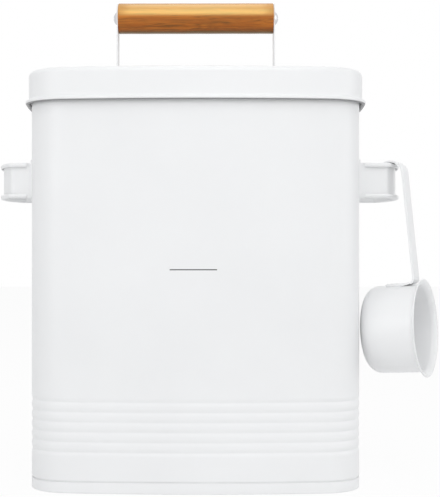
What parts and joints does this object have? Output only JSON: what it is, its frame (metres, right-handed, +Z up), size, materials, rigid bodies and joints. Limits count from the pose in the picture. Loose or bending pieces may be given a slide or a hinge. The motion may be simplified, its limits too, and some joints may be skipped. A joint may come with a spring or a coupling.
{
  "type": "laundry detergent container",
  "caption": "White coated steel tin with a lift-off lid, a wooden lid grip, strap side handles, ribs near the foot and a measuring scoop hung from one handle.",
  "frame": {"origin": "middle of the foot of the tin, on the plane it stands on", "axes": "+Z up, +X to the side with the scoop, -Y to the front"},
  "size_m": [0.281, 0.1478, 0.3046],
  "materials": {
    "coat": "satin white powder coat",
    "grip_wood": "oiled",
    "screw_steel": "plain nickel"
  },
  "bodies": {
    "tin": {"body_wall": "coat", "base_panel": "coat", "left_handle": "coat", "right_handle": "coat"},
    "lid": {"lid": "coat", "lid_bracket": "coat", "wooden_grip": "grip_wood", "grip_screws": "screw_steel"},
    "scoop": {"scoop_cup": "coat", "scoop_handle": "coat"}
  },
  "joints": [
    {"name": "lid_lift", "type": "slide", "parent": "tin", "child": "lid", "axis": [0, 0, 1], "range_m": [0, 0.06]},
    {"name": "scoop_swing", "type": "hinge", "parent": "tin", "child": "scoop", "pos_m": [0.1236, -0.02445, 0.1925], "axis": [-0.4067, -0.9135, 0], "range_deg": [0, 25]}
  ]
}
